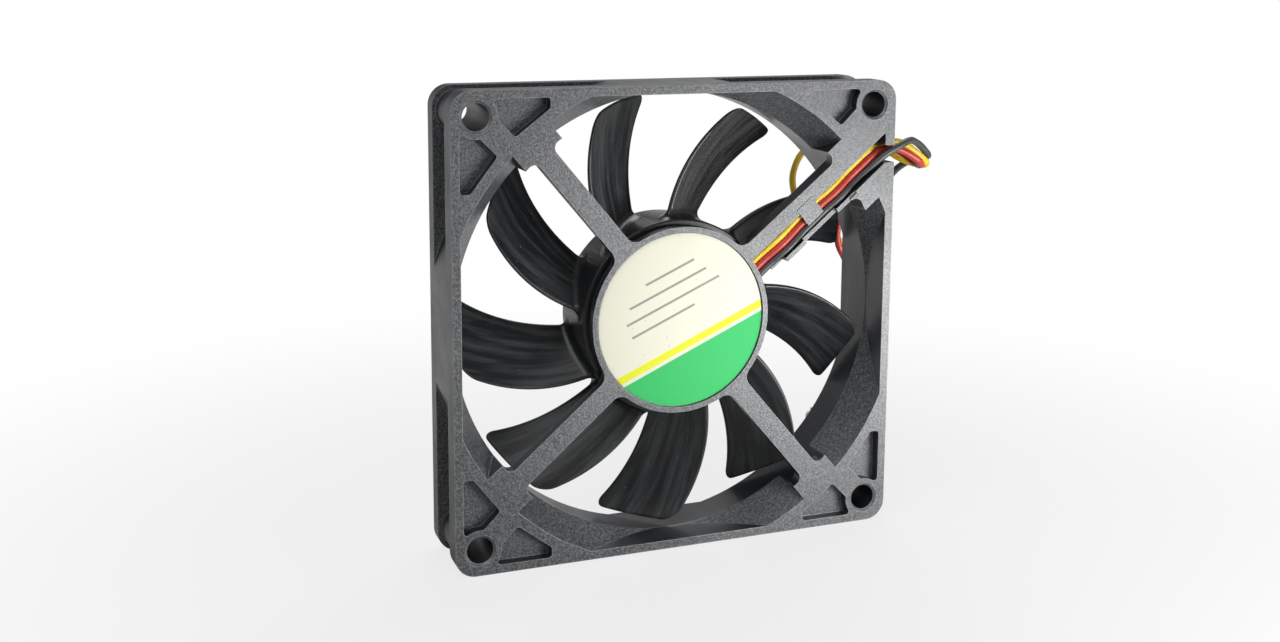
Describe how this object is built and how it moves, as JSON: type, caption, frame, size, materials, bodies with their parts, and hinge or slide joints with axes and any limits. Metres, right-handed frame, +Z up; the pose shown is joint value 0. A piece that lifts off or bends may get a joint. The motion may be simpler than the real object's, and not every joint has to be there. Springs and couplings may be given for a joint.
{
  "type": "case fan",
  "caption": "Slim square case fan: moulded frame with struts and a wire channel, swept-blade impeller on a sleeve-bearing brushless motor, and coloured leads ending in a crimp connector.",
  "frame": {"origin": "centre of the square frame's lower edge, midway between the front and back faces", "axes": "+Z up, +X to the right seen from the strut side, +Y from the strut side to the intake side"},
  "size_m": [0.0984, 0.0494, 0.08],
  "materials": {
    "housing_plastic": "fine grained moulded charcoal plastic",
    "impeller_plastic": "satin near-black moulded plastic",
    "label_film": "printed satin film",
    "cap_plastic": "plain moulded plastic",
    "pad_plastic": "low-friction plastic",
    "bearing_bronze": "sintered oil-soaked bronze",
    "core_steel": "stacked silicon steel sheets",
    "insulator_plastic": "pale moulded plastic",
    "winding_copper": "enamelled copper wire",
    "tinned_metal": "tinned",
    "board_laminate": "solder-masked laminate",
    "chip_resin": "moulded resin",
    "ceramic_parts": "fired ceramic",
    "lead_yellow": "satin vinyl insulation",
    "lead_red": "satin vinyl insulation",
    "lead_black": "satin vinyl insulation",
    "coil_leads": "bundle of vinyl leads",
    "tie_plastic": "paper-covered wire tie",
    "connector_plastic": "natural nylon",
    "contact_metal": "stamped tinned brass",
    "yoke_steel": "drawn steel",
    "magnet_rubber": "bonded ferrite",
    "shaft_steel": "ground steel",
    "boss_brass": "turned brass",
    "slinger_plastic": "thin plastic washer"
  },
  "bodies": {
    "stator": {"housing": "housing_plastic", "label": "label_film", "bearing_cap": "cap_plastic", "thrust_pad": "pad_plastic", "sleeve_bearing": "bearing_bronze", "stator_core": "core_steel", "front_insulator": "insulator_plastic", "back_insulator": "insulator_plastic", "windings": "winding_copper", "terminal_pins": "tinned_metal", "circuit_board": "board_laminate", "hall_sensor": "chip_resin", "driver_chip": "chip_resin", "board_parts": "ceramic_parts", "lead_cores": "tinned_metal", "lead_yellow": "lead_yellow", "lead_red": "lead_red", "lead_black": "lead_black", "cord_yellow": "lead_yellow", "cord_red": "lead_red", "cord_black": "lead_black", "cord_coil": "coil_leads", "coil_tie": "tie_plastic", "connector_housing": "connector_plastic", "connector_contacts": "contact_metal"},
    "rotor": {"impeller": "impeller_plastic", "rotor_yoke": "yoke_steel", "magnet_ring": "magnet_rubber", "shaft": "shaft_steel", "shaft_boss": "boss_brass", "oil_slinger": "slinger_plastic", "retaining_clip": "tinned_metal"}
  },
  "joints": [
    {"name": "rotor_spin", "type": "hinge", "parent": "stator", "child": "rotor", "pos_m": [0, 0, 0.04], "axis": [0, 1, 0], "continuous": true}
  ]
}
